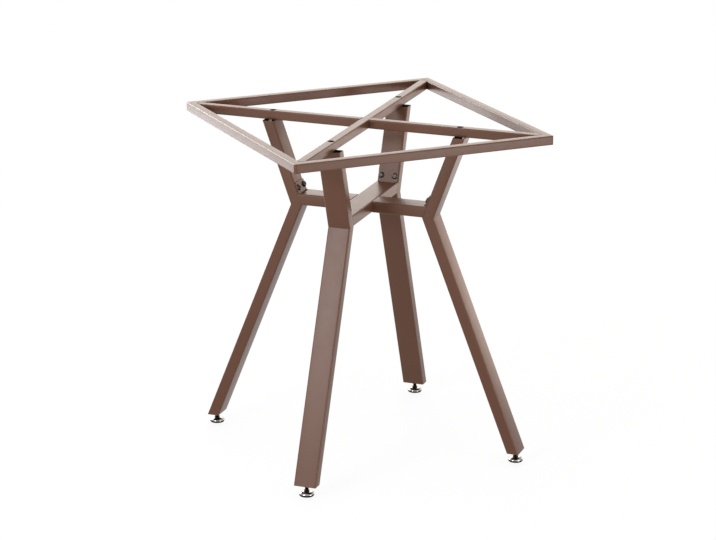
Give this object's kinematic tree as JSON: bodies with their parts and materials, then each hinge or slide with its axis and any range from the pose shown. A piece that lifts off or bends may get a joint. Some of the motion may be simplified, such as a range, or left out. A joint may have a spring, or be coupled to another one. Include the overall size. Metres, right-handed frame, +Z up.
{
  "type": "table frame",
  "caption": "Square steel table frame with crossing diagonals under the top, waisted splayed legs of flat tube, a bolted cross brace and screw-in levelling feet.",
  "frame": {"origin": "on the floor, under the middle of the top frame", "axes": "+Z up, +X along the front rail to the right, +Y from the front rail to the rear rail"},
  "size_m": [0.6, 0.6, 0.743],
  "materials": {
    "powder_coat": "satin brown powder coat",
    "screw_steel": "dark zinc-nickel steel",
    "foot_plating": "bright nickel plate",
    "foot_pad": "black moulded plastic"
  },
  "bodies": {
    "frame": {"rail_front": "powder_coat", "rail_right": "powder_coat", "rail_rear": "powder_coat", "rail_left": "powder_coat", "diagonal_long": "powder_coat", "diagonal_short_front_right": "powder_coat", "diagonal_short_rear_left": "powder_coat", "brace_long": "powder_coat", "brace_short_front_right": "powder_coat", "brace_short_rear_left": "powder_coat", "leg_upper_front_left": "powder_coat", "leg_lower_front_left": "powder_coat", "brace_tab_front_left": "powder_coat", "leg_upper_front_right": "powder_coat", "leg_lower_front_right": "powder_coat", "brace_tab_front_right": "powder_coat", "leg_upper_rear_right": "powder_coat", "leg_lower_rear_right": "powder_coat", "brace_tab_rear_right": "powder_coat", "leg_upper_rear_left": "powder_coat", "leg_lower_rear_left": "powder_coat", "brace_tab_rear_left": "powder_coat", "leg_top_plate_front_left": "powder_coat", "leg_end_plate_front_left": "powder_coat", "leg_top_plate_front_right": "powder_coat", "leg_end_plate_front_right": "powder_coat", "leg_top_plate_rear_right": "powder_coat", "leg_end_plate_rear_right": "powder_coat", "leg_top_plate_rear_left": "powder_coat", "leg_end_plate_rear_left": "powder_coat", "top_screws": "screw_steel", "brace_screws": "screw_steel", "rivet_nuts": "screw_steel"},
    "foot_front_left": {"foot_stem_front_left": "screw_steel", "foot_base_front_left": "foot_plating", "foot_pad_front_left": "foot_pad"},
    "foot_front_right": {"foot_stem_front_right": "screw_steel", "foot_base_front_right": "foot_plating", "foot_pad_front_right": "foot_pad"},
    "foot_rear_right": {"foot_stem_rear_right": "screw_steel", "foot_base_rear_right": "foot_plating", "foot_pad_rear_right": "foot_pad"},
    "foot_rear_left": {"foot_stem_rear_left": "screw_steel", "foot_base_rear_left": "foot_plating", "foot_pad_rear_left": "foot_pad"}
  },
  "joints": [
    {"name": "foot_front_left_level", "type": "slide", "parent": "frame", "child": "foot_front_left", "axis": [0, 0, -1], "range_m": [-0.007, 0.006]},
    {"name": "foot_front_right_level", "type": "slide", "parent": "frame", "child": "foot_front_right", "axis": [0, 0, -1], "range_m": [-0.007, 0.006]},
    {"name": "foot_rear_right_level", "type": "slide", "parent": "frame", "child": "foot_rear_right", "axis": [0, 0, -1], "range_m": [-0.007, 0.006]},
    {"name": "foot_rear_left_level", "type": "slide", "parent": "frame", "child": "foot_rear_left", "axis": [0, 0, -1], "range_m": [-0.007, 0.006]}
  ]
}
